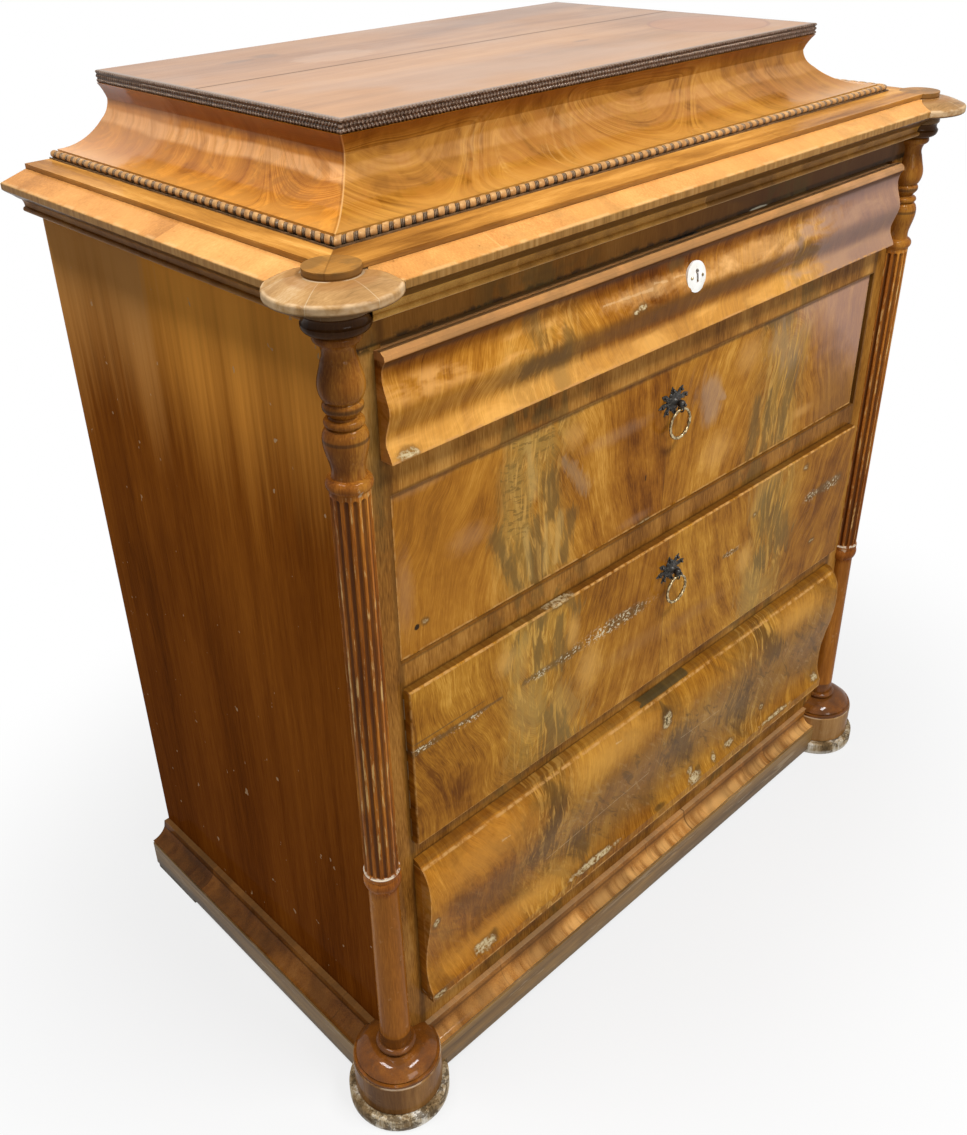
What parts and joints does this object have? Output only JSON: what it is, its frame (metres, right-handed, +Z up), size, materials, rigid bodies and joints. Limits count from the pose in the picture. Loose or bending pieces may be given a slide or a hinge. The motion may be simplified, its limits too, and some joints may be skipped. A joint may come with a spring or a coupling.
{
  "type": "bachelors chest",
  "caption": "Free-standing chest of four full-width drawers with a raised hollow-moulded top, fluted corner columns, turned front feet and a moulded base.",
  "frame": {"origin": "on the floor, in the middle of the overall width and depth", "axes": "+Z up, -Y towards the drawer fronts, +X towards the right-hand column as one faces the drawers"},
  "size_m": [1.1078, 0.6157, 1.175],
  "materials": {
    "front_veneer": "figured walnut veneer, glossy French polish",
    "frame_veneer": "walnut veneer, glossy French polish",
    "side_veneer": "straight-grained walnut veneer, glossy French polish",
    "cornice_veneer": "light walnut veneer, glossy French polish",
    "cavetto_veneer": "flame-figured walnut veneer, glossy French polish",
    "top_veneer": "straight-grained walnut veneer, worn polish",
    "turned_wood": "turned walnut, glossy French polish",
    "worn_foot": "bare, worn and dirty wood",
    "ebonised": "black-stained wood, satin",
    "bead_wood": "carved beads, satin",
    "base_veneer": "walnut veneer, glossy French polish",
    "plinth_wood": "walnut veneer, dull and worn",
    "plain_pine": "plain unfinished pine",
    "porcelain": "glazed white porcelain",
    "brass": "aged polished brass",
    "black_iron": "blackened cast iron",
    "steel_lock": "dull steel"
  },
  "bodies": {
    "case": {"corner_posts": "frame_veneer", "frieze_rail": "frame_veneer", "upper_rail": "frame_veneer", "middle_rail": "frame_veneer", "lower_rail": "frame_veneer", "bottom_rail": "frame_veneer", "side_panel_left": "side_veneer", "side_panel_right": "side_veneer", "cornice_front": "cornice_veneer", "cornice_sides": "cornice_veneer", "step_board": "cornice_veneer", "fascia_moulding": "cornice_veneer", "cavetto_front": "cavetto_veneer", "cavetto_sides": "cavetto_veneer", "top_board": "top_veneer", "column_left": "turned_wood", "column_right": "turned_wood", "capital_discs": "turned_wood", "foot_drums": "turned_wood", "foot_discs": "worn_foot", "rear_feet": "worn_foot", "ripple_moulding": "ebonised", "bead_moulding": "bead_wood", "base_moulding": "base_veneer", "plinth_front": "plinth_wood", "plinth_sides": "plinth_wood", "carcase_top": "plain_pine", "raised_box_back": "plain_pine", "back_frame": "plain_pine", "back_panel": "plain_pine", "bottom_board": "plain_pine", "drawer_runners": "plain_pine", "drawer_guides": "plain_pine", "drawer_stops": "plain_pine"},
    "drawer_1": {"drawer_1_front": "front_veneer", "drawer_1_sides": "plain_pine", "drawer_1_back": "plain_pine", "drawer_1_bottom": "plain_pine", "lock_1": "steel_lock", "escutcheon": "porcelain", "escutcheon_pins": "brass"},
    "drawer_2": {"drawer_2_front": "front_veneer", "drawer_2_sides": "plain_pine", "drawer_2_back": "plain_pine", "drawer_2_bottom": "plain_pine", "ring_plate_2": "black_iron"},
    "drawer_3": {"drawer_3_front": "front_veneer", "drawer_3_sides": "plain_pine", "drawer_3_back": "plain_pine", "drawer_3_bottom": "plain_pine", "ring_plate_3": "black_iron"},
    "drawer_4": {"drawer_4_front": "front_veneer", "drawer_4_sides": "plain_pine", "drawer_4_back": "plain_pine", "drawer_4_bottom": "plain_pine", "lock_4": "steel_lock"},
    "ring_2": {"ring_2": "brass"},
    "ring_3": {"ring_3": "brass"},
    "bolt_1": {"bolt_1": "steel_lock"},
    "bolt_4": {"bolt_4": "steel_lock"}
  },
  "joints": [
    {"name": "drawer_1_slide", "type": "slide", "parent": "case", "child": "drawer_1", "axis": [0, -1, 0], "range_m": [0, 0.4]},
    {"name": "drawer_2_slide", "type": "slide", "parent": "case", "child": "drawer_2", "axis": [0, -1, 0], "range_m": [0, 0.4]},
    {"name": "drawer_3_slide", "type": "slide", "parent": "case", "child": "drawer_3", "axis": [0, -1, 0], "range_m": [0, 0.4]},
    {"name": "drawer_4_slide", "type": "slide", "parent": "case", "child": "drawer_4", "axis": [0, -1, 0], "range_m": [0, 0.4]},
    {"name": "ring_2_swing", "type": "hinge", "parent": "drawer_2", "child": "ring_2", "pos_m": [0, -0.2525, 0.7989], "axis": [-1, 0, 0], "range_deg": [-5, 110]},
    {"name": "ring_3_swing", "type": "hinge", "parent": "drawer_3", "child": "ring_3", "pos_m": [0, -0.2669, 0.5684], "axis": [-1, 0, 0], "range_deg": [-5, 110]},
    {"name": "bolt_1_throw", "type": "slide", "parent": "drawer_1", "child": "bolt_1", "axis": [0, 0, 1], "range_m": [0, 0.01]},
    {"name": "bolt_4_throw", "type": "slide", "parent": "drawer_4", "child": "bolt_4", "axis": [0, 0, 1], "range_m": [0, 0.01]}
  ]
}
